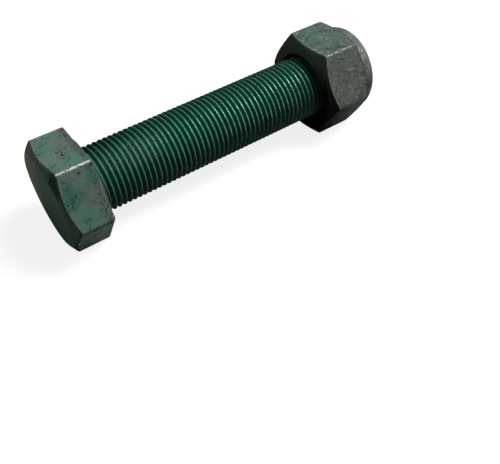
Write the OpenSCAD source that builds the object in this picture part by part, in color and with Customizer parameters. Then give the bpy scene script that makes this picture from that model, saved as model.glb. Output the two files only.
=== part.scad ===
// Tensioner bolt: a hexagon bolt threaded along its whole shank, with a self-locking nut run on to its end.
// X is the thread axis, from the head to the tip. The bearing face under the head is at X = 0.
// Both hexagons lie on a flat, so the surface under the set is half the width across flats below the axis.

/* [Hexagons] */
// Width across the flats of the head and of the nut
across_flats = 36; // [33:0.1:40]
// Slope of the chamfers at the ends of both hexagons, in degrees
chamfer_angle = 30; // [15:1:40]

/* [Head] */
// Height of the head, from its outer face to the bearing face
head_h = 15.4; // [11:0.1:20]
// Diameter of the flat outer face, inside the chamfer
head_face_d = 33.2; // [28:0.1:34]
// Diameter of the raised washer face under the head
washer_face_d = 32.8; // [30:0.1:33]
// Height of the washer face
washer_face_h = 0.8; // [0.4:0.1:1.2]

/* [Shank] */
// Length of the shank, from the bearing face to the tip
shank_len = 120; // [80:1:200]
// Length of the plain neck under the head, where the thread runs out
neck_len = 1.5; // [1.2:0.1:6]
// Radius of the fillet between the neck and the bearing face
neck_fillet_r = 0.8; // [0.4:0.1:1]
// Diameter of the flat end, inside the chamfer of the tip
tip_d = 20.6; // [18:0.1:21]

/* [Thread] */
// Nominal diameter, over the crests
thread_d = 24; // [23:0.1:26]
// Pitch
thread_pitch = 2; // [1:0.25:3]
// Play between the thread and the bores that run on it, on the radius
thread_play = 0.05; // [0.02:0.01:0.1]

/* [Nut] */
// Height of the nut, from its bearing face to the end of its collar
nut_h = 24.8; // [20:0.1:30]
// Height at which the hexagon has sloped in to the collar
nut_hex_h = 19.3; // [15:0.1:21]
// Diameter of the bearing face, inside the chamfer
nut_face_d = 33; // [29:0.1:33]
// Diameter of the collar
collar_d = 33.7; // [32:0.1:34.5]
// Radius of the rim that is rolled in over the insert
rim_r = 3.4; // [2:0.1:3.5]
// Diameter of the countersink in the bearing face
countersink_d = 26.4; // [25:0.1:28]
// How far the tip of the bolt stands proud of the nut
tip_proud = 2.4; // [-3:0.1:20]

/* [Insert] */
// Outer diameter of the locking ring
insert_d = 29.6; // [28:0.1:30]
// Thickness of the locking ring
insert_t = 4; // [2.5:0.1:5]
// Thickness of the lip that keeps the ring in
lip_t = 1.2; // [0.8:0.1:1.6]
// Diameter of the opening in the lip
lip_d = 26.4; // [25:0.1:27]
// Play between the ring and its groove, all round
insert_play = 0.05; // [0.02:0.01:0.1]

/* [Hidden] */
$fn = 96;

// Metric thread form: shares of the pitch, and the flank's angle from square to the axis
thread_depth_share = 0.6134;
thread_crest_share = 1 / 8;
pitch_line_share = 0.3248;
flank_angle = 30;

// Stock left over round a cut, so that no two faces coincide
overcut = 1;

corner_r = across_flats / sqrt(3);
blank_r = corner_r + overcut;
thread_r = thread_d / 2;
root_r = thread_r - thread_depth_share * thread_pitch;
neck_r = thread_r - pitch_line_share * thread_pitch;
crest_w = thread_crest_share * thread_pitch;
flank_w = (thread_r - root_r) * tan(flank_angle);
neck_flank_w = (thread_r - neck_r) * tan(flank_angle);
ridges = ceil((shank_len - neck_len) / thread_pitch);
bore_r = thread_r + thread_play;
nut_x = shank_len - tip_proud - nut_h;
groove_x = nut_h - lip_t - insert_t - 2 * insert_play;

// Turns a solid built up along Z so that it stands along the thread axis, from x
module along_axis(x) {
    translate([x, 0, 0]) rotate([0, 90, 0]) children();
}

// Hexagonal bar with a flat above and below the thread axis
module hexagon_bar(length) {
    rotate([0, 0, 30]) cylinder(r = corner_r, h = length, $fn = 6);
}

// How far along the axis a chamfer runs as it goes in from the blank's edge to a radius
function chamfer_run(to_r) = (blank_r - to_r) * tan(chamfer_angle);

// Half section of the head's turned blank, from the outer face
module head_section() {
    face_r = head_face_d / 2;
    hex_h = head_h - washer_face_h;
    polygon([[0, 0], [face_r, 0], [blank_r, chamfer_run(face_r)], [blank_r, hex_h], [0, hex_h]]);
}

// Half section of the shank: the neck, then one ridge for each pitch, cut short later at the tip
module thread_section() {
    ridge = [[thread_r, 0], [thread_r, crest_w], [root_r, crest_w + flank_w], [root_r, thread_pitch - flank_w]];
    first_x = neck_len + neck_flank_w;
    last_x = first_x + ridges * thread_pitch;
    polygon(concat(
        [[0, -overcut], [neck_r, -overcut], [neck_r, neck_len]],
        [for (i = [0 : ridges - 1], p = ridge) p + [0, first_x + i * thread_pitch]],
        [[thread_r, last_x], [0, last_x]]
    ));
}

// Half section of the bar that the thread was rolled on, with the chamfer of its tip
module bar_section() {
    tip_r = tip_d / 2;
    bar_r = thread_r + overcut;
    polygon([[0, -overcut], [bar_r, -overcut], [bar_r, shank_len - (bar_r - tip_r)], [tip_r, shank_len], [0, shank_len]]);
}

// Half section of the fillet where the neck meets the bearing face
module fillet_section() {
    translate([neck_r, 0]) difference() {
        translate([-overcut, -overcut]) square(neck_fillet_r + overcut);
        translate([neck_fillet_r, neck_fillet_r]) circle(neck_fillet_r);
    }
}

// Half section of the nut's turned blank, from the bearing face to the rolled rim
module nut_section() {
    face_r = nut_face_d / 2;
    collar_r = collar_d / 2;
    rim_x = nut_h - rim_r;
    polygon([
        [0, 0], [face_r, 0], [blank_r, chamfer_run(face_r)], [blank_r, nut_hex_h - chamfer_run(collar_r)],
        [collar_r, nut_hex_h], [collar_r, rim_x], [0, rim_x]
    ]);
    translate([collar_r - rim_r, rim_x]) circle(rim_r);
    square([collar_r - rim_r, nut_h]);
}

// Forged head with a washer face, and the threaded shank with its neck, fillet and chamfered tip
module bolt() {
    color([0.10, 0.32, 0.24]) union() {
        along_axis(-head_h) intersection() {
            hexagon_bar(head_h);
            rotate_extrude() head_section();
        }
        along_axis(-washer_face_h - overcut) cylinder(d = washer_face_d, h = washer_face_h + overcut);
        along_axis(0) rotate_extrude() fillet_section();
        along_axis(0) intersection() {
            rotate_extrude() thread_section();
            rotate_extrude() bar_section();
        }
    }
}

// Hexagon nut with a round collar, bored through, with a groove inside the collar for the locking ring
module lock_nut() {
    sink_h = countersink_d / 2 - bore_r;
    color([0.30, 0.38, 0.34]) along_axis(nut_x) difference() {
        intersection() {
            hexagon_bar(nut_h);
            rotate_extrude() nut_section();
        }
        translate([0, 0, -overcut]) cylinder(r = bore_r, h = nut_h);
        translate([0, 0, -overcut]) cylinder(r1 = bore_r + sink_h + overcut, r2 = bore_r, h = sink_h + overcut);
        translate([0, 0, groove_x]) cylinder(d = insert_d + 2 * insert_play, h = insert_t + 2 * insert_play);
        translate([0, 0, groove_x]) cylinder(d = lip_d, h = nut_h);
    }
}

// Nylon locking ring that grips the thread
module nylon_insert() {
    color([0.90, 0.90, 0.84]) along_axis(nut_x + groove_x + insert_play) difference() {
        cylinder(d = insert_d, h = insert_t);
        translate([0, 0, -overcut]) cylinder(r = bore_r, h = insert_t + 2 * overcut);
    }
}

bolt();
lock_nut();
nylon_insert();
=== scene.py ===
import math
import bpy
import numpy as np
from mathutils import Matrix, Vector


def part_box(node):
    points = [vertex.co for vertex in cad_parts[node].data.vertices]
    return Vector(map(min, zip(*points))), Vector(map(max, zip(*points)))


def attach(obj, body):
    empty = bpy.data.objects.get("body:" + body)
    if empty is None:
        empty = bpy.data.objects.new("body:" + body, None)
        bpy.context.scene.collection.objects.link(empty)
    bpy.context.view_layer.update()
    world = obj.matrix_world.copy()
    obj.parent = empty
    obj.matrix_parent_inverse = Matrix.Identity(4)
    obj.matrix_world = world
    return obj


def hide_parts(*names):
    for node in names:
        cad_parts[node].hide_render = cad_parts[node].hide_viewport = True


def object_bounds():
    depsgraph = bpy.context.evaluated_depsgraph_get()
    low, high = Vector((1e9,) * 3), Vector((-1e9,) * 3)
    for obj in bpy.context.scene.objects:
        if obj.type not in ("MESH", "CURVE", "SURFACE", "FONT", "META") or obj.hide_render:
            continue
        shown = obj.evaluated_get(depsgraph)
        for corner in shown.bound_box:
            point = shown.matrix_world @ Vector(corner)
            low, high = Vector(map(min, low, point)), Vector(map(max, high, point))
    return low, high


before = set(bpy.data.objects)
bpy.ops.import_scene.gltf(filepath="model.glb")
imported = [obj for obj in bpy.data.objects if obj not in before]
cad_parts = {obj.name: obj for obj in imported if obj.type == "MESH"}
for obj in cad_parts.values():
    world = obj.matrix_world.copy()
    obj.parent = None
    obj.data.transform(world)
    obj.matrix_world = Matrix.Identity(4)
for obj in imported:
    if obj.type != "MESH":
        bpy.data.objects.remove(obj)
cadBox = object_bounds()
mm = 0.001
weldGap = 0.001 * mm  # points nearer than this are one
hairline = 0.01 * mm  # slack in finding points by their place
edgeBreak = 0.1 * mm  # width of a small broken edge
boltLow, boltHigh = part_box("bolt")
nutLow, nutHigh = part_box("lock_nut")
ringLow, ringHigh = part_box("nylon_insert")
halfFlats = boltHigh.z  # thread axis to a flat, on the head and on the nut
cornerR = halfFlats / math.cos(math.pi / 6)  # thread axis to a sharp corner
print("frame loaded, bolt %.1f mm long" % ((boltHigh.x - boltLow.x) / mm))


# mesh helpers

def deselectAll():
    if bpy.context.object and bpy.context.object.mode != "OBJECT":
        bpy.ops.object.mode_set(mode="OBJECT")
    bpy.ops.object.select_all(action="DESELECT")


def pick(piece):  # selected alone, and active
    deselectAll()
    piece.select_set(True)
    bpy.context.view_layer.objects.active = piece


def startEdit(piece):
    pick(piece)
    bpy.ops.object.mode_set(mode="EDIT")
    bpy.ops.mesh.select_all(action="SELECT")


def endEdit():
    bpy.ops.object.mode_set(mode="OBJECT")


def cleanMesh(piece):
    startEdit(piece)
    bpy.ops.mesh.remove_doubles(threshold=weldGap)
    bpy.ops.mesh.normals_make_consistent(inside=False)
    endEdit()


def joinPieces(piece, other):
    pick(piece)
    other.select_set(True)
    bpy.ops.object.join()


def smoothPiece(piece, degrees):  # sharper edges than this stay sharp
    pick(piece)
    bpy.ops.object.shade_smooth_by_angle(angle=math.radians(degrees))


def arc(centre, radius, start, end, steps):  # points on a circle, degrees from +X towards outwards
    turns = np.radians(np.linspace(start, end, steps + 1))
    return [(centre[0] + radius * math.cos(a), centre[1] + radius * math.sin(a)) for a in turns]


def runTo(outline, end, between):  # straight on to the end, with some points between
    start = outline[-1]
    step = np.subtract(end, start) / (between + 1)
    outline += [tuple(np.add(start, step * i)) for i in range(1, between + 2)]


def drawOutline(name, points):  # one point pulled out step by step, along X and out from the axis
    deselectAll()
    bpy.ops.mesh.primitive_plane_add(size=mm)
    outline = bpy.context.object
    outline.name = name
    bpy.ops.object.mode_set(mode="EDIT")
    bpy.ops.mesh.select_all(action="SELECT")
    bpy.ops.mesh.merge(type="CENTER")
    bpy.ops.transform.translate(value=(points[0][0], 0, points[0][1]))
    for (x0, r0), (x1, r1) in zip(points, points[1:]):
        bpy.ops.mesh.extrude_vertices_move(TRANSFORM_OT_translate={"value": (x1 - x0, 0, r1 - r0)})
    endEdit()
    return outline


def turnOutline(outline, steps, axis=(1, 0, 0)):  # once round, about the thread axis unless told
    startEdit(outline)
    bpy.ops.mesh.spin(steps=steps, angle=2 * math.pi, center=(0, 0, 0), axis=axis)
    endEdit()
    cleanMesh(outline)


def readPoints(piece):
    flat = np.empty(3 * len(piece.data.vertices))
    piece.data.vertices.foreach_get("co", flat)
    return flat.reshape(-1, 3)


def writePoints(piece, points):
    piece.data.vertices.foreach_set("co", points.ravel())
    piece.data.update()


def setRadius(piece, rule):  # moves points in or out from the axis, by a rule on x, radius and angle
    points = readPoints(piece)
    radius = np.hypot(points[:, 1], points[:, 2])
    angle = np.arctan2(points[:, 2], points[:, 1])
    factor = np.ones_like(radius)
    np.divide(rule(points[:, 0], radius, angle), radius, out=factor, where=radius > weldGap)
    points[:, 1:] *= factor[:, None]
    writePoints(piece, points)


def softMin(a, b, reach):  # the smaller of two lengths, rounded over where they are about equal
    share = np.clip(0.5 + 0.5 * (b - a) / reach, 0, 1)
    return b + (a - b) * share - reach * share * (1 - share)


def bridgeRims(piece, lowX, highX):  # joins the open rim at lowX to the open rim at highX
    startEdit(piece)
    bpy.ops.mesh.select_mode(type="EDGE")
    bpy.ops.mesh.select_all(action="DESELECT")
    bpy.ops.mesh.select_non_manifold(
        use_wire=False, use_multi_face=False, use_non_contiguous=False, use_verts=False)
    endEdit()
    along = readPoints(piece)[:, 0]
    for edge in piece.data.edges:
        if edge.select:
            edge.select = all(lowX - hairline < along[v] < highX + hairline for v in edge.vertices)
    bpy.ops.object.mode_set(mode="EDIT")
    bpy.ops.mesh.bridge_edge_loops()
    bpy.ops.mesh.select_mode(type="VERT")
    endEdit()


# hexagons: a turned blank with chamfered faces, pressed to six flats

hexagonForm = {
    "steps": 480,  # points round the blank
    "blankR": 21.9 * mm,
    "chamfer": math.tan(math.radians(30)),  # run along the axis for each step outwards
    "chamferRows": 16,
    "cornerOff": 0.08 * mm,
    "cornerSoft": 0.3 * mm,
    "edgeSoft": 0.7 * mm,  # rounding where a chamfer meets a flat
    "smooth": 35,  # degrees
}


def addFace(outline, faceX, form):  # out to the face's rim, then along the chamfer to the blank's edge
    faceR = form["faceR"]
    soft = form["faceSoft"]
    slope = hexagonForm["chamfer"]
    blankR = hexagonForm["blankR"]
    runTo(outline, (faceX, faceR - soft), form["faceRows"])
    outline += [(faceX + edgeBreak / 2, faceR - edgeBreak), (faceX + soft * slope, faceR + soft)]
    runTo(outline, (faceX + (blankR - faceR) * slope, blankR), hexagonForm["chamferRows"])


def hexagonRadius(angle):  # flats above and below, corners a little rounded
    fromFlat = angle % (math.pi / 3) - math.pi / 6
    roundedR = cornerR - hexagonForm["cornerOff"]
    return softMin(halfFlats / np.cos(fromFlat), roundedR, hexagonForm["cornerSoft"])


# thread: one pitch of the metric profile, run along the axis as a right-hand screw

threadForm = {
    "crestR": 12 * mm,
    "pitch": 2 * mm,
    "depth": 0.6134,  # share of the pitch
    "crestWidth": 0.125,  # share of the pitch
    "rootRound": 0.25 * mm,
    "crestRound": 0.1 * mm,
    "flank": 60,  # degrees from the axis
    "phase": 0.22 * mm,  # where the middle of a root passes the top, so that bolt and nut mesh
    "steps": 80,  # points in one turn
}


def threadOutline(play, lowestR):  # from one root to the next, off the bolt's own thread by the play
    form = threadForm
    pitch = form["pitch"]
    depth = form["depth"] * pitch
    crestR = form["crestR"] + play
    rootR = crestR - depth
    slope = math.tan(math.radians(form["flank"]))
    halfTurn = math.tan(math.radians(form["flank"] / 2))
    crestX = (1 - form["crestWidth"]) * pitch / 2
    rootX = crestX - depth / slope
    rootOff = form["rootRound"] * halfTurn
    crestOff = form["crestRound"] * halfTurn
    rootCentre = (rootX - rootOff, rootR + form["rootRound"])
    half = [(0, rootR)]
    half += arc(rootCentre, form["rootRound"], 270, 270 + form["flank"], 2)
    half += [
        (crestX - depth / slope / 2, crestR - depth / 2),
        (crestX - crestOff / 2, crestR - crestOff * slope / 2),
        (crestX + crestOff, crestR),
    ]
    half = [(x, max(r, lowestR)) for x, r in half]
    return half + [(pitch - x, r) for x, r in reversed(half)]


def screwThread(name, outline, lowX, highX):  # with a turn or more to spare at both ends
    pitch = threadForm["pitch"]
    phase = threadForm["phase"]
    start = phase + (math.floor((lowX - phase) / pitch) - 1) * pitch
    thread = drawOutline(name, [(start + x, r) for x, r in outline])
    screw = thread.modifiers.new("screw", "SCREW")
    screw.axis = "X"
    screw.angle = 2 * math.pi
    screw.screw_offset = pitch
    screw.iterations = math.ceil((highX - start) / pitch) + 2
    screw.steps = screw.render_steps = threadForm["steps"]
    bpy.ops.object.modifier_apply(modifier=screw.name)
    cleanMesh(thread)
    return thread


def cutThread(thread, x, keepAbove, cap):
    startEdit(thread)
    bpy.ops.mesh.bisect(plane_co=(x, 0, 0), plane_no=(1, 0, 0), use_fill=cap, clear_inner=keepAbove,
                        clear_outer=not keepAbove, threshold=weldGap / 10)
    endEdit()


# bolt: forged head, neck and screw thread in one closed mesh

boltForm = {
    "faceR": 16.6 * mm,  # flat of the outer face
    "faceSoft": 0.5 * mm,
    "faceRows": 9,
    "flatRows": 24,
    "underSoft": 0.6 * mm,
    "underSteps": 4,
    "washerR": 16.4 * mm,
    "washerHigh": 0.8 * mm,
    "washerBreak": 0.15 * mm,
    "neckR": 11.35 * mm,
    "neckLong": 1.0 * mm,
    "filletR": 0.8 * mm,
    "filletSteps": 6,
    "bridgeLong": 0.1 * mm,  # last stretch of the neck, between the head and the thread
    "runOut": 1.0 * mm,  # over this the thread rises out of the neck
    "tipR": 10.3 * mm,
    "threadCoat": 0.3 * mm,  # where the thread's coat starts
    "tipCoat": 0.1 * mm,  # and how far from the tip it ends
}


def makeHead():
    form = boltForm
    blankR = hexagonForm["blankR"]
    washerR = form["washerR"]
    soft = form["underSoft"]
    underX = -form["washerHigh"]
    edgeX = underX - soft
    filletCentre = (form["filletR"], form["neckR"] + form["filletR"])
    outline = [(boltLow.x, 0)]
    addFace(outline, boltLow.x, form)
    runTo(outline, (edgeX, blankR), form["flatRows"])
    outline += arc((edgeX, blankR - soft), soft, 90, 0, form["underSteps"])[1:]
    outline += [(underX, washerR + edgeBreak), (underX + edgeBreak / 2, washerR)]
    outline += [(-form["washerBreak"], washerR), (0, washerR - form["washerBreak"])]
    outline += arc(filletCentre, form["filletR"], 180, 270, form["filletSteps"])
    outline += [(form["neckLong"] - form["bridgeLong"], form["neckR"])]
    head = drawOutline("worn_bolt", outline)
    turnOutline(head, hexagonForm["steps"])

    def pressHead(x, radius, angle):
        toEdge = np.clip((x - edgeX) / soft, 0, 1)
        inset = soft * (1 - np.sqrt(1 - toEdge ** 2))
        pressed = softMin(radius, hexagonRadius(angle) - inset, hexagonForm["edgeSoft"])
        return np.where(x < underX + hairline, pressed, radius)

    setRadius(head, pressHead)
    return head


def makeShank():
    form = boltForm
    startX = form["neckLong"]
    tipX = boltHigh.x
    thread = screwThread("shank_thread", threadOutline(0, 0), startX, tipX)
    cutThread(thread, startX, keepAbove=True, cap=False)
    cutThread(thread, tipX, keepAbove=False, cap=True)

    def shapeThread(x, radius, angle):
        risen = np.clip((x - startX) / form["runOut"], 0, 1)
        risen = risen ** 2 * (3 - 2 * risen)
        radius = form["neckR"] + (radius - form["neckR"]) * risen
        return np.minimum(radius, form["tipR"] + np.maximum(tipX - x, 0))

    setRadius(thread, shapeThread)
    return thread


def makeBolt():
    bolt = makeHead()
    joinPieces(bolt, makeShank())
    bridgeRims(bolt, boltForm["neckLong"] - boltForm["bridgeLong"], boltForm["neckLong"])
    cleanMesh(bolt)
    smoothPiece(bolt, hexagonForm["smooth"])
    print("bolt made, %d faces" % len(bolt.data.polygons))
    return bolt


# nut: hexagon, collar rolled over the ring, screw thread through the middle

nutForm = {
    "faceR": 16.5 * mm,
    "faceSoft": 0.5 * mm,
    "faceRows": 3,
    "flatRows": 20,
    "shoulderRows": 20,
    "collarRows": 3,
    "sinkR": 13.2 * mm,  # mouth of the countersink
    "sinkLip": 0.3 * mm,  # depth of its first stretch, before the thread
    "hexagonHigh": 19.3 * mm,
    "collarR": 16.85 * mm,
    "rimR": 3.4 * mm,
    "rimSteps": 14,
    "lipR": 13.2 * mm,
    "lipThick": 1.2 * mm,
    "grooveR": 14.85 * mm,
    "grooveEdgeR": 12.5 * mm,
    "grooveBevel": 0.3 * mm,
    "groovePlay": 0.05 * mm,
    "threadStart": 0.5 * mm,  # from the front face
    "threadEnd": 0.2 * mm,  # short of the groove
    "threadPlay": 0.1 * mm,
    "ridgeR": 10.95 * mm,  # inside of the nut's own thread
}


def makeNutBody(grooveX):
    form = nutForm
    frontX, endX = nutLow.x, nutHigh.x
    blankR = hexagonForm["blankR"]
    collarR = form["collarR"]
    shoulderX = frontX + form["hexagonHigh"]
    slopeX = shoulderX - (blankR - collarR) * hexagonForm["chamfer"]
    rimX = endX - form["rimR"]
    lipX = endX - form["lipThick"]
    outline = [(frontX + form["sinkLip"], form["sinkR"] - form["sinkLip"])]
    outline += [(frontX + edgeBreak, form["sinkR"] - edgeBreak), (frontX, form["sinkR"] + edgeBreak)]
    addFace(outline, frontX, form)
    runTo(outline, (slopeX, blankR), form["flatRows"])
    runTo(outline, (shoulderX, collarR), form["shoulderRows"])
    runTo(outline, (rimX, collarR), form["collarRows"])
    outline += arc((rimX, collarR - form["rimR"]), form["rimR"], 90, 0, form["rimSteps"])[1:]
    outline += [(endX, form["lipR"] + edgeBreak), (endX - edgeBreak, form["lipR"]), (lipX, form["lipR"])]
    outline += [(lipX, form["grooveR"]), (grooveX, form["grooveR"]), (grooveX, form["grooveEdgeR"])]
    nut = drawOutline("worn_nut", outline)
    turnOutline(nut, hexagonForm["steps"])

    def pressNut(x, radius, angle):
        return softMin(radius, hexagonRadius(angle), hexagonForm["edgeSoft"])

    setRadius(nut, pressNut)
    return nut


def makeNutThread(lowX, highX):
    form = nutForm
    thread = screwThread("nut_thread", threadOutline(form["threadPlay"], form["ridgeR"]), lowX, highX)
    cutThread(thread, lowX, keepAbove=True, cap=False)
    cutThread(thread, highX, keepAbove=False, cap=False)

    def shapeThread(x, radius, angle):
        sink = form["sinkR"] - (x - nutLow.x)
        bevel = threadForm["crestR"] + form["grooveBevel"] - (highX - x)
        return np.maximum(radius, np.maximum(sink, bevel))

    setRadius(thread, shapeThread)
    return thread


def makeNut():
    grooveX = ringLow.x - nutForm["groovePlay"]
    lowX = nutLow.x + nutForm["threadStart"]
    highX = grooveX - nutForm["threadEnd"]
    nut = makeNutBody(grooveX)
    joinPieces(nut, makeNutThread(lowX, highX))
    bridgeRims(nut, nutLow.x + nutForm["sinkLip"], lowX)
    bridgeRims(nut, highX, grooveX)
    cleanMesh(nut)
    smoothPiece(nut, hexagonForm["smooth"])
    print("nut made, %d faces" % len(nut.data.polygons))
    return nut


# ring: nylon, turned, with softened edges

ringForm = {
    "boreR": 12.05 * mm,
    "edge": 0.4 * mm,
    "edgeSteps": 4,
    "steps": 240,
    "smooth": 40,  # degrees
}


def makeRing():
    edge = ringForm["edge"]
    lowX, highX = ringLow.x + edge, ringHigh.x - edge
    innerR, outerR = ringForm["boreR"] + edge, ringHigh.z - edge
    corners = [((highX, innerR), 270), ((highX, outerR), 0), ((lowX, outerR), 90), ((lowX, innerR), 180)]
    outline = []
    for centre, start in corners:
        outline += arc(centre, edge, start, start + 90, ringForm["edgeSteps"])
    outline.append(outline[0])
    ring = drawOutline("locking_ring", outline)
    turnOutline(ring, ringForm["steps"])
    smoothPiece(ring, ringForm["smooth"])
    print("ring made, %d faces" % len(ring.data.polygons))
    return ring


# shader maths

class Wire:
    def __init__(self, finish, socket):
        self.finish = finish
        self.socket = socket

    def math(self, operation, first, second):
        return self.finish.node("ShaderNodeMath", {"operation": operation}, {0: first, 1: second})

    def __add__(self, other):
        return self.math("ADD", self, other)

    def __sub__(self, other):
        return self.math("SUBTRACT", self, other)

    def __rsub__(self, other):
        return self.math("SUBTRACT", other, self)

    def __mul__(self, other):
        return self.math("MULTIPLY", self, other)

    __radd__ = __add__
    __rmul__ = __mul__


class Finish:
    def __init__(self, name):
        self.material = bpy.data.materials.new(name)
        self.material.use_nodes = True
        self.tree = self.material.node_tree
        self.surface = self.tree.nodes["Principled BSDF"]

    def node(self, kind, settings, inputs, output=0):
        made = self.tree.nodes.new(kind)
        for key, value in settings.items():
            setattr(made, key, value)
        for key, value in inputs.items():
            self.feed(made.inputs[key], value)
        return Wire(self, made.outputs[output])

    def feed(self, socket, value):
        if isinstance(value, Wire):
            self.tree.links.new(value.socket, socket)
        else:
            socket.default_value = value

    def point(self):  # place on the object, in millimetres
        place = self.node("ShaderNodeTexCoord", {}, {}, "Object")
        return self.node("ShaderNodeVectorMath", {"operation": "SCALE"}, {0: place, "Scale": 1 / mm})

    def split(self, point):
        parts = self.node("ShaderNodeSeparateXYZ", {}, {0: point})
        return [Wire(self, socket) for socket in parts.socket.node.outputs]

    def root(self, value):
        return self.node("ShaderNodeMath", {"operation": "SQRT"}, {0: value})

    def noise(self, point, size, detail=3, rough=0.55, warp=0.0):  # size of a patch in millimetres
        shape = {"Scale": 1 / size, "Detail": detail, "Roughness": rough, "Distortion": warp}
        return self.node("ShaderNodeTexNoise", {}, {"Vector": point, **shape})

    def cells(self, point, size):  # distance to the nearest of scattered points, in cells
        return self.node("ShaderNodeTexVoronoi", {}, {"Vector": point, "Scale": 1 / size})

    def stretch(self, point, factors, turn):
        return self.node("ShaderNodeMapping", {}, {"Vector": point, "Rotation": turn, "Scale": factors})

    def ease(self, value, low, high):  # from 0 at low to 1 at high, smooth between; low may be the larger
        settings = {"interpolation_type": "SMOOTHSTEP"}
        return self.node("ShaderNodeMapRange", settings, {0: value, 1: low, 2: high, 3: 0.0, 4: 1.0})

    def blend(self, share, first, second):  # colours
        first, second = (c if isinstance(c, Wire) else (*c, 1) for c in (first, second))
        return self.node("ShaderNodeMix", {"data_type": "RGBA"}, {0: share, 6: first, 7: second}, 2)

    def spot(self, point, centre, size, edge):  # 1 inside an oval place, its rim moved by the edge value
        away = self.node("ShaderNodeVectorMath", {"operation": "SUBTRACT"}, {0: point, 1: centre})
        away = self.node("ShaderNodeVectorMath", {"operation": "DIVIDE"}, {0: away, 1: size})
        away = self.node("ShaderNodeVectorMath", {"operation": "LENGTH"}, {0: away}, "Value")
        return self.ease(away + edge, 1.3, 0.7)

    def bump(self, height, strength, distance):
        sockets = {"Height": height, "Strength": strength, "Distance": distance}
        return self.node("ShaderNodeBump", {}, sockets)

    def set(self, **sockets):
        for key, value in sockets.items():
            self.feed(self.surface.inputs[key.replace("_", " ")], value)


# floor, light and camera, in metres

floorForm = {
    "flatR": 2.5,  # round floor, swept up into a low wall all round
    "sweepR": 0.8,
    "sweepSteps": 12,
    "wallHigh": 1.3,
    "steps": 96,
    "smooth": 60,  # degrees
    "shade": (0.26, 0.26, 0.26),
    "white": 0.84,  # what the camera and mirror rays see of it by itself
}


def makeFloor():
    form = floorForm
    low = cadBox[0].z
    flatR, sweepR = form["flatR"], form["sweepR"]
    outline = [(0, low), *arc((flatR, low + sweepR), sweepR, 270, 360, form["sweepSteps"])]
    outline += [(flatR + sweepR, low + form["wallHigh"])]
    floor = drawOutline("floor", outline)
    turnOutline(floor, form["steps"], (0, 0, 1))
    smoothPiece(floor, form["smooth"])
    paint = Finish("pale_floor")
    path = paint.node("ShaderNodeLightPath", {}, {}, "Is Camera Ray")
    rays = path.socket.node.outputs
    seen = path + Wire(paint, rays["Is Glossy Ray"]) + Wire(paint, rays["Is Transmission Ray"])
    paint.set(Base_Color=(*form["shade"], 1), Roughness=1.0, Specular_IOR_Level=0.0)
    paint.set(Emission_Color=seen * form["white"], Emission_Strength=1.0)
    floor.data.materials.append(paint.material)


lightForm = {
    "key": {"place": (0.62, -0.18, 0.80), "wide": 0.60, "power": 13.5},
    "fill": {"place": (-0.80, 0.22, 0.35), "wide": 0.50, "power": 1.6},  # from behind the head, weak
    "aim": (0.05, 0, 0),
    "world": (0.08, 0.08, 0.08),
}


def makeLamp(name, place, wide, power):
    deselectAll()
    bpy.ops.object.light_add(type="AREA", location=place)
    lamp = bpy.context.object
    lamp.name = name
    lamp.data.shape = "DISK"
    lamp.data.size = wide
    lamp.data.energy = power
    x, y, z = np.subtract(lightForm["aim"], place)
    lamp.rotation_euler = (math.atan2(math.hypot(x, y), -z), 0, math.atan2(y, x) - math.pi / 2)


def makeLight():
    makeLamp("key_lamp", **lightForm["key"])
    makeLamp("fill_lamp", **lightForm["fill"])
    world = bpy.data.worlds.new("studio")
    bpy.context.scene.world = world
    world.use_nodes = True
    world.node_tree.nodes["Background"].inputs["Color"].default_value = (*lightForm["world"], 1)


cameraForm = {
    "place": (-47.83 * mm, -162.83 * mm, 150.71 * mm),
    "turn": (42.158, 0.665, -35.875),  # degrees
    "lens": 46.145,
    "sensor": 36.0,
    "nearest": 0.01,
}


def makeCamera():
    deselectAll()
    turn = [math.radians(a) for a in cameraForm["turn"]]
    bpy.ops.object.camera_add(location=cameraForm["place"], rotation=turn)
    camera = bpy.context.object
    camera.name = "camera"
    camera.data.sensor_fit = "HORIZONTAL"
    camera.data.sensor_width = cameraForm["sensor"]
    camera.data.lens = cameraForm["lens"]
    camera.data.clip_start = cameraForm["nearest"]
    bpy.context.scene.camera = camera


# finishes: a thin green coat over zinc, rubbed and marked; places and sizes in millimetres

outerFaceX = boltLow.x / mm
tipFaceX = boltHigh.x / mm
nutFaceX = nutLow.x / mm

coatGrain = {"cloud": (6.0, 4, 0.6), "grit": (1.2, 4, 0.7), "fine": (0.45, 3, 0.6)}  # size, detail, rough

coatColours = {
    "green": (0.074, 0.178, 0.132),
    "pale": (0.122, 0.168, 0.140),
    "deep": (0.030, 0.118, 0.084),
    # the next two: a shaded and a lit copy of one colour, painted shade and light on the outer face
    "faceShaded": (0.058, 0.098, 0.068),
    "faceLit": (0.092, 0.145, 0.100),
    "bare": (0.128, 0.124, 0.116),
    "dark": (0.012, 0.026, 0.020),
    # next: an earth colour for the flecks, and painted light on the outer face
    "earthAndLight": (0.205, 0.212, 0.170),
    "rust": (0.090, 0.088, 0.082),
    # the next two: paler tones that paint light onto the head's underside
    "shade": (0.170, 0.205, 0.165),
    "underLight": (0.330, 0.390, 0.330),
    "bright": (0.62, 0.64, 0.60),
}


class Surface:  # what a coat reads at each point
    def __init__(self, coat, grain):
        self.point = coat.point()
        self.x, self.y, self.z = coat.split(self.point)
        self.radius = coat.root(self.y * self.y + self.z * self.z)
        for name, noise in grain.items():
            setattr(self, name, coat.noise(self.point, *noise))

    def ragged(self, grit, cloud):  # uneven rim of a mark, from fine and coarse patches
        return (self.grit - 0.5) * grit + (self.cloud - 0.5) * cloud


def paintSpots(coat, at, colour, spots, edge, share, tone):
    for centre, size in spots:
        colour = coat.blend(coat.spot(at.point, centre, size, edge) * share, colour, tone)
    return colour


def overChamfer(along, radius, faceR):  # height over the cone of a chamfer that starts at faceR
    return along - (radius - faceR / mm) * hexagonForm["chamfer"]


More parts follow.
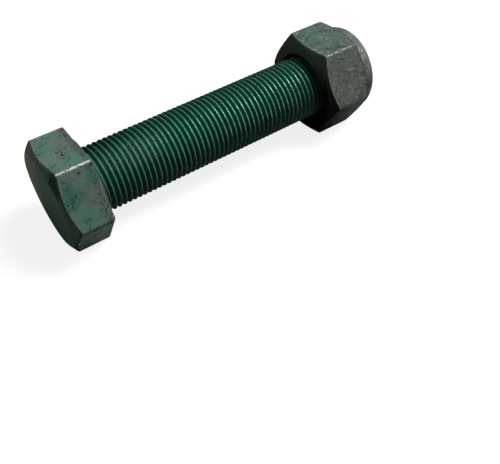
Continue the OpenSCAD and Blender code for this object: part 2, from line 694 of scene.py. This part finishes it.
def cornerWear(coat, at):  # broken lines of rubbed metal along a hexagon's corners; dimmed low down as painted shade
    sharpR = cornerR / mm
    wear = coat.ease(at.radius + (at.grit - 0.5), sharpR - 0.4, sharpR - 0.14)
    wear = wear * coat.ease(at.fine, 0.4, 0.6)
    return wear * (coat.ease(at.z, 2.0, 12.0) * 0.8 + 0.2)


# head: centre and size of each mark, then how much of each layer shows

headMarks = {
    "deep": [((-2.2, -12.4, 14.0), (2.0, 1.8, 2.8)), ((-10.0, -14.4, 10.6), (4.0, 2.6, 3.6))],
    "rubbed": [((-4.2, -15.8, 8.4), (4.4, 2.8, 4.0)), ((-5.2, 2.6, 18.0), (2.6, 4.0, 2.0)),
               ((-12.0, -11.2, 16.2), (3.2, 1.6, 2.2))],
    "edge": ((-5.0, -10.35, 17.95), (8.0, 0.42, 0.34)),  # the upper near edge: painted highlight, over some edge rubbed to bright metal
    "chamferShadow": ((-13.8, -11.4, 15.6), (3.0, 3.0, 6.0)),  # painted shadow on the chamfer, below that edge
}

headShares = {
    "rubbed": 0.55,
    "rear": 0.4,
    "rearTop": 0.5,  # more of it on the upper flat
    "deep": 0.5,
    "under": 0.9,
    "mottle": 0.14,
    "busyMottle": 0.65,
    "faceMottle": 0.4,
    "flecks": 0.45,
    "rim": 0.6,
    "chamfer": 0.9,
    "chamferDark": 0.3,
    "chamferShadow": 0.75,
    "shadeLine": 0.85,
    "corner": 0.35,
    "edge": 0.85,
    "edgeGaps": 0.15,
}


def headFlats(coat, at, ragged, mottle):  # green and pale patches, darker to the rear; painted light below, paler on the underside
    tone, share = coatColours, headShares
    colour = coat.blend(coat.ease(at.cloud, 0.34, 0.68), tone["green"], tone["pale"])
    colour = paintSpots(coat, at, colour, headMarks["rubbed"], ragged, share["rubbed"], tone["bare"])
    rear = coat.ease(at.x + ragged * 1.4, -4.0, -1.6)
    rusty = rear * (coat.ease(at.z, 10.0, 18.0) * share["rearTop"] + share["rear"])
    colour = coat.blend(rusty, colour, tone["rust"])
    colour = paintSpots(coat, at, colour, headMarks["deep"], ragged, share["deep"], tone["deep"])
    # painted light: the underside is painted paler than the coat, most towards the rear, standing in for
    # light it lacks
    under = coat.ease(at.z + ragged * 2.0, 0.0, -4.0)
    dusty = coat.ease(at.x + at.z * 0.3 + ragged * 2.0, -16.0, -3.0)
    colour = coat.blend(under * share["under"], colour, coat.blend(dusty, tone["shade"], tone["underLight"]))
    busy = coat.ease(coat.noise(at.point, 4.5, 2) + rear * 0.4, 0.44, 0.62)
    colour = coat.blend(mottle * (busy * share["busyMottle"] + share["mottle"]), colour, tone["dark"])
    flecks = coat.ease(coat.noise(at.point, 0.6, 2, 0.6), 0.56, 0.66) * rear
    colour = coat.blend(flecks * share["flecks"], colour, tone["earthAndLight"])
    strokes = coat.noise(coat.stretch(at.point, (1.0, 0.5, 0.6), (0.5, 0.3, 0.6)), 0.9, 2)
    specks = coat.ease(strokes, 0.62, 0.67) * busy
    return coat.blend(specks, colour, tone["dark"]), specks


def headFace(coat, at, ragged, mottle):
    tone = coatColours
    # painted light and shade: the outer face is painted lighter upwards and paler towards the far side,
    # darker low down
    upper = coat.ease(at.z + at.y * 0.3 + ragged * 4.0, -13.0, 9.0)
    faceLightFar = coat.ease(at.y * 0.8 + at.z * 0.35 + ragged * 3.0, 0.0, 13.0)
    face = coat.blend(upper, tone["faceShaded"], tone["faceLit"])
    face = coat.blend(faceLightFar, face, tone["earthAndLight"])
    return coat.blend(mottle * headShares["faceMottle"], face, tone["dark"])


def headChamfer(coat, at, ragged, colour, face):
    tone, share = coatColours, headShares
    rise = overChamfer(at.x - outerFaceX, at.radius, boltForm["faceR"])
    nibbled = rise - at.grit * 0.6
    rim = coat.ease(nibbled, 0.9, 0.3) * coat.ease(at.fine, 0.40, 0.58)
    colour = coat.blend(rim * share["rim"], colour, tone["bare"])
    # painted shade: the chamfer is painted darker than the outer face, with a painted shadow below the
    # upper near edge
    chamfer = coat.ease(nibbled, 0.1, -0.1)
    dull = coat.blend(share["chamferDark"], face, tone["dark"])
    colour = coat.blend(chamfer * share["chamfer"], colour, dull)
    chamferShadow = coat.spot(at.point, *headMarks["chamferShadow"], ragged * 0.6) * chamfer
    colour = coat.blend(chamferShadow * share["chamferShadow"], colour, tone["dark"])
    outer = coat.ease(at.x, outerFaceX + 0.3, outerFaceX + 0.1)
    colour = coat.blend(outer, colour, face)
    # painted shade: a dark line on the flats along the chamfer's edge
    shadeLine = coat.ease(nibbled, 0.45, 0.08) * coat.ease(rise, 0.04, 0.2) * (1 - outer)
    return coat.blend(shadeLine * share["shadeLine"], colour, tone["dark"])


def headEdges(coat, at, colour):
    share = headShares
    bright = coatColours["bright"]
    colour = coat.blend(cornerWear(coat, at) * share["corner"], colour, bright)
    # painted highlight along the upper near edge, over some rubbed metal
    edge = coat.spot(at.point, *headMarks["edge"], (at.fine - 0.5) * 2.4 + (at.grit - 0.5) * 1.6)
    broken = coat.ease(coat.noise(at.point, 1.1, 2), 0.44, 0.54)
    return coat.blend(edge * (broken * share["edge"] + share["edgeGaps"]), colour, bright)


def headCoat():
    coat = Finish("head_coat")
    at = Surface(coat, coatGrain)
    ragged = at.ragged(1.4, 2.4)
    mottle = coat.ease(at.fine + at.grit * 0.6, 0.76, 0.96)
    colour, specks = headFlats(coat, at, ragged, mottle)
    colour = headChamfer(coat, at, ragged, colour, headFace(coat, at, ragged, mottle))
    colour = headEdges(coat, at, colour)
    rough = 0.62 + (at.cloud - 0.5) * 0.3
    relief = coat.bump(at.grit + at.fine * 0.4 - specks * 0.5, 0.3, 0.1 * mm)
    coat.set(Base_Color=colour, Roughness=rough, Specular_IOR_Level=0.0, Normal=relief)
    return coat.material


# thread: green between the crests, crests rubbed to metal on the upper near side, painted shade with some
# dirt below and on the far side

threadGrain = {"cloud": (6.0, 3, 0.55), "grit": (0.8, 3, 0.7)}

threadColours = {
    "root": (0.018, 0.165, 0.105),
    "flank": (0.013, 0.150, 0.097),
    "crest": (0.295, 0.465, 0.395),
    "dusty": (0.042, 0.100, 0.080),
    "frost": (0.400, 0.500, 0.450),
    "nick": (0.80, 0.82, 0.78),
    "shadeAndDirt": (0.078, 0.092, 0.072),
    "rootShadeAndDirt": (0.012, 0.042, 0.026),
    "neck": (0.090, 0.190, 0.150),
    "smudge": (0.006, 0.012, 0.008),
}

threadMarks = {
    "frost": ((16.0, -6.5, 10.2), (12.0, 5.5, 5.0)),  # pale specks between the ridges, beside the head
}

threadShares = {
    "neck": 0.7,
    "shadeAndDirt": 0.65,
    "farShadeAndDirt": 0.3,  # less of it on the far side
    "dusty": 0.85,
    "frost": 0.55,
    "worn": 0.85,
    "metal": 0.6,
    "byNut": 0.75,
}


def wornCrests(coat, at, shadeAndDirt, byNut):
    crestR = threadForm["crestR"] / mm
    runOut = coat.ease(at.x, 2.1, 1.0) * coat.ease(at.x, 0.6, 1.0) * 0.58  # low crests beside the head
    worn = coat.ease(at.radius + runOut + (at.grit - 0.5) * 0.36, crestR - 0.09, crestR + 0.02)
    worn = worn * coat.ease(at.x, -10.0, 60.0)  # brightest towards the nut
    # crests dimmed under the painted shade
    worn = worn * (1 - shadeAndDirt * (coat.ease(at.x, -15.0, 60.0) * 0.78 + 0.2))
    worn = worn * coat.ease(at.cloud + at.grit * 0.4, 0.35, 0.75)
    return worn * (1 - byNut * 0.8)


def threadCoat():
    coat = Finish("thread_coat")
    tone, share = threadColours, threadShares
    at = Surface(coat, threadGrain)
    crestR = threadForm["crestR"] / mm
    # painted light: the root is painted a little lighter than the flank, to fill in the shade that falls
    # in it
    height = coat.ease(at.radius + (at.cloud - 0.5) * 0.6, crestR - 1.1, crestR - 0.15)
    colour = coat.blend(height, tone["root"], tone["flank"])
    along = at.x + (at.grit - 0.5)
    ends = coat.ease(along, 2.6, 1.6) + coat.ease(along, tipFaceX - 2.0, tipFaceX - 0.8)
    colour = coat.blend(ends * share["neck"], colour, tone["neck"])
    rubbed = at.z * 0.87 - at.y * 0.5 + (at.cloud - 0.5) * 5.0  # highest on the upper near side, where the light falls; the painted shade below is measured from it
    # painted shade mixed with some dirt, darkening the thread below and on the far side
    shadeAndDirt = coat.ease(rubbed, 11.4, 6.8)
    shadeAndDirtShare = share["shadeAndDirt"] - coat.ease(at.y, -1.0, 4.0) * share["farShadeAndDirt"]
    colour = coat.blend(shadeAndDirt * shadeAndDirtShare, colour, coat.blend(height, tone["rootShadeAndDirt"], tone["shadeAndDirt"]))
    byNut = coat.ease(at.x + (at.cloud - 0.5) * 2.0, nutFaceX - 4.2, nutFaceX - 0.8)
    byNut = byNut * (coat.ease(at.z, -6.0, 6.0) * 0.5 + 0.5)  # painted shade beside the nut, most above
    worn = wornCrests(coat, at, shadeAndDirt, byNut)
    dusty = coat.ease(at.radius, crestR - 0.7, crestR - 0.2) * coat.ease(at.x, 45.0, 5.0)
    colour = coat.blend(dusty * share["dusty"], colour, tone["dusty"])
    frost = coat.spot(at.point, *threadMarks["frost"], (at.cloud - 0.5) * 2.0)
    frost = frost * coat.ease(at.radius, crestR, crestR - 0.3)
    frost = frost * coat.ease(coat.noise(at.point, 0.4, 2, 0.6), 0.5, 0.62)
    colour = coat.blend(frost * share["frost"], colour, tone["frost"])
    colour = coat.blend(worn * share["worn"], colour, tone["crest"])
    nick = coat.ease(coat.cells(at.point, 4.2), 0.11, 0.07) * worn
    colour = coat.blend(nick, colour, tone["nick"])
    smudge = coat.ease(coat.noise(at.point, 1.5, 2), 0.58, 0.68) * (shadeAndDirt * 0.6 + 0.15)
    colour = coat.blend(smudge, colour, tone["smudge"])
    colour = coat.blend(byNut * share["byNut"], colour, tone["smudge"])
    metal = worn * share["metal"]
    relief = coat.bump(at.grit, 0.2, 0.05 * mm)
    coat.set(Base_Color=colour, Roughness=0.38, Metallic=metal, Specular_IOR_Level=0.0, Normal=relief)
    return coat.material


# nut: zinc with a little green on top, pitted and scratched; painted shade in front and below, painted
# light on the underside towards the collar

nutTones = {
    "zinc": (0.099, 0.106, 0.094),
    "tint": (0.084, 0.126, 0.103),
    "leaf": (0.062, 0.146, 0.106),
    "scratch": (0.26, 0.28, 0.25),
    "collar": (0.150, 0.170, 0.157),
    # the next three: a near-black for painted shade, and two lighter tones for painted light on the front
    # and the underside
    "paintedShade": (0.0045, 0.0055, 0.0040),
    "litFront": (0.046, 0.056, 0.040),
    "nutUnderLight": (0.190, 0.215, 0.185),
}

nutMarks = {
    "tint": ((nutFaceX + 8.7, 0.5, 18.0), (14.0, 11.5, 5.5)),  # the upper flat keeps its green
    "leaf": [((nutFaceX + 2.7, -4.0, 18.0), (2.6, 4.0, 2.0)),
             ((nutFaceX + 8.2, 4.0, 18.0), (3.0, 4.0, 2.0))],
    # painted highlight along the upper near edge
    "edge": ((nutFaceX + 4.2, -10.38, 17.96), (14.0, 0.24, 0.24)),
    "strip": ((nutFaceX + 19.8, -10.5, 13.0), (2.4, 2.4, 3.6)),  # painted highlight on the collar's near upper side
    "scratches": [(0.4, 0.5, 0.9), (0.2, -0.6, 0.3)],  # turns of two sets of fine lines
}

nutShares = {
    "patches": 0.15,
    "tint": 0.85,
    "leaf": 0.5,
    "low": 0.4,
    "streaks": 0.45,
    "pits": 0.75,
    "flecks": 0.5,
    "scratches": 0.35,
    "rim": 0.5,
    "chamfer": 0.9,
    "collar": 0.25,
    "collarTop": 0.65,  # more of it high up, as painted light
    "shadeLine": 0.75,
    "strip": 0.38,
    "corner": 0.2,
    "edge": 0.6,
}


def nutFlats(coat, at, ragged):
    tint, share = nutTones, nutShares
    colour = coat.blend(coat.ease(at.cloud, 0.4, 0.7) * share["patches"], tint["zinc"], tint["tint"])
    green = coat.spot(at.point, *nutMarks["tint"], ragged * 0.3)
    colour = coat.blend(green * share["tint"], colour, tint["tint"])
    colour = paintSpots(coat, at, colour, nutMarks["leaf"], ragged, share["leaf"], tint["leaf"])
    along = at.x - nutFaceX
    low = coat.ease(at.z + ragged * 2.0 - along * 0.2, 3.06, -2.44)  # darker towards the bottom, most at the collar
    colour = coat.blend(low * share["low"], colour, coatColours["dark"])
    # painted shade and light: the underside is near-black at the front and painted pale towards the
    # collar
    under = coat.ease(at.z + ragged * 0.6, 0.2, -0.6)
    nutUnderLight = coat.ease(along + at.z * 0.4 + ragged * 2.0, -4.8, 14.2)
    return coat.blend(under, colour, coat.blend(nutUnderLight, tint["paintedShade"], tint["nutUnderLight"]))


def nutWear(coat, at, colour, pits):  # streaks, pits, flecks and scratches
    share = nutShares
    dark, light = coatColours["dark"], nutTones["scratch"]
    streaks = coat.noise(coat.stretch(at.point, (0.4, 0.8, 0.8), (0.0, 0.0, 0.5)), 2.2, 3, 0.6, 1.2)
    colour = coat.blend(coat.ease(streaks, 0.50, 0.66) * share["streaks"], colour, dark)
    colour = coat.blend(pits * share["pits"], colour, dark)
    flecks = coat.noise(coat.stretch(at.point, (1.0, 0.7, 0.5), (0.6, 0.4, 0.9)), 0.7, 2, 0.6)
    colour = coat.blend(coat.ease(flecks, 0.60, 0.70) * share["flecks"], colour, light)
    for turn in nutMarks["scratches"]:
        line = coat.noise(coat.stretch(at.point, (0.12, 0.5, 0.5), turn), 1.0, 1) - 0.5
        scratch = coat.ease(line * line, 0.0008, 0.0001)
        scratch = scratch * coat.ease(coat.noise(at.point, 2.6, 2), 0.50, 0.62)
        colour = coat.blend(scratch * share["scratches"], colour, light)
    return colour


def nutFront(coat, at, ragged, colour):
    tint, share = nutTones, nutShares
    sinkR = nutForm["sinkR"] / mm
    nibbled = overChamfer(at.x - nutFaceX, at.radius, nutForm["faceR"]) - at.grit * 0.6
    rim = coat.ease(nibbled, 0.7, 0.2) * coat.ease(at.fine, 0.45, 0.60)
    colour = coat.blend(rim * share["rim"], colour, tint["scratch"])
    # painted shadow and light: the front face and its chamfer are near-black below and lighter towards
    # the top, and the countersink is painted dark as shade
    upper = coat.ease(at.y * 0.5 + at.z + ragged * 3.0, -5.0, 18.0)
    front = coat.blend(upper, tint["paintedShade"], tint["litFront"])
    colour = coat.blend(coat.ease(nibbled, 0.1, -0.1) * share["chamfer"], colour, front)
    colour = coat.blend(coat.ease(at.x, nutFaceX + 0.3, nutFaceX + 0.1), colour, front)
    return coat.blend(coat.ease(at.radius, sinkR + 0.3, sinkR), colour, tint["paintedShade"])


def nutCollar(coat, at, ragged, colour):
    tone, share = coatColours, nutShares
    shoulderX = nutFaceX + nutForm["hexagonHigh"] / mm
    shoulder = overChamfer(shoulderX - at.x, at.radius, nutForm["collarR"])
    collar = coat.ease(shoulder, 0.3, 0.1)
    # pale collar, with painted light making it paler high up
    pale = coat.ease(at.z, 4.0, 17.0) * share["collarTop"] + share["collar"]
    pale = coat.ease(at.cloud, 0.35, 0.6) * pale
    colour = coat.blend(collar * pale, colour, nutTones["collar"])
    # painted shade in the crease between shoulder and collar
    shadeLine = coat.ease(shoulder, 0.7, 0.3) * coat.ease(shoulder, -0.2, 0.0)
    colour = coat.blend(shadeLine * share["shadeLine"], colour, tone["dark"])
    # painted highlight on the collar's near side
    strip = coat.spot(at.point, *nutMarks["strip"], ragged) * coat.ease(at.grit, 0.40, 0.60)
    return coat.blend(strip * collar * share["strip"], colour, tone["bright"])


def nutEdges(coat, at, colour):
    bright = coatColours["bright"]
    colour = coat.blend(cornerWear(coat, at) * nutShares["corner"], colour, bright)
    # painted highlight along the upper near edge
    edge = coat.spot(at.point, *nutMarks["edge"], (at.fine - 0.5) * 2.4) * coat.ease(at.grit, 0.40, 0.56)
    return coat.blend(edge * nutShares["edge"], colour, bright)


def nutCoat():
    coat = Finish("nut_coat")
    at = Surface(coat, coatGrain)
    ragged = at.ragged(1.2, 1.6)
    pits = coat.ease(coat.noise(at.point, 0.8, 3, 0.65), 0.56, 0.68)
    colour = nutWear(coat, at, nutFlats(coat, at, ragged), pits)
    colour = nutFront(coat, at, ragged, colour)
    colour = nutCollar(coat, at, ragged, colour)
    colour = nutEdges(coat, at, colour)
    relief = coat.bump(at.grit + at.fine * 0.5 - pits * 0.6, 0.5, 0.12 * mm)
    coat.set(Base_Color=colour, Roughness=0.6, Specular_IOR_Level=0.0, Normal=relief)
    return coat.material


ringTones = {"dull": (0.62, 0.62, 0.55), "light": (0.75, 0.75, 0.69)}


def ringNylon():
    nylon = Finish("ring_nylon")
    cloud = nylon.noise(nylon.point(), 3.0)
    nylon.set(Base_Color=nylon.blend(cloud, ringTones["dull"], ringTones["light"]), Roughness=0.5)
    return nylon.material


def dress(piece, body, node, finishes):
    for finish in finishes:
        piece.data.materials.append(finish)
    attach(piece, body)
    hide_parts(node)


def splitFinish(piece, lowX, highX):  # the second finish between lowX and highX
    along = readPoints(piece)[:, 0]
    for face in piece.data.polygons:
        face.material_index = int(lowX < min(along[v] for v in face.vertices) < highX)


bpy.context.scene.view_settings.view_transform = "Standard"
makeCamera()
makeFloor()
makeLight()
print("camera, floor and light made")

bolt = makeBolt()
nut = makeNut()
ring = makeRing()
dress(bolt, "bolt", "bolt", [headCoat(), threadCoat()])
splitFinish(bolt, boltForm["threadCoat"], boltHigh.x - boltForm["tipCoat"])
dress(nut, "nut", "lock_nut", [nutCoat()])
dress(ring, "insert", "nylon_insert", [ringNylon()])
print("finishes made")
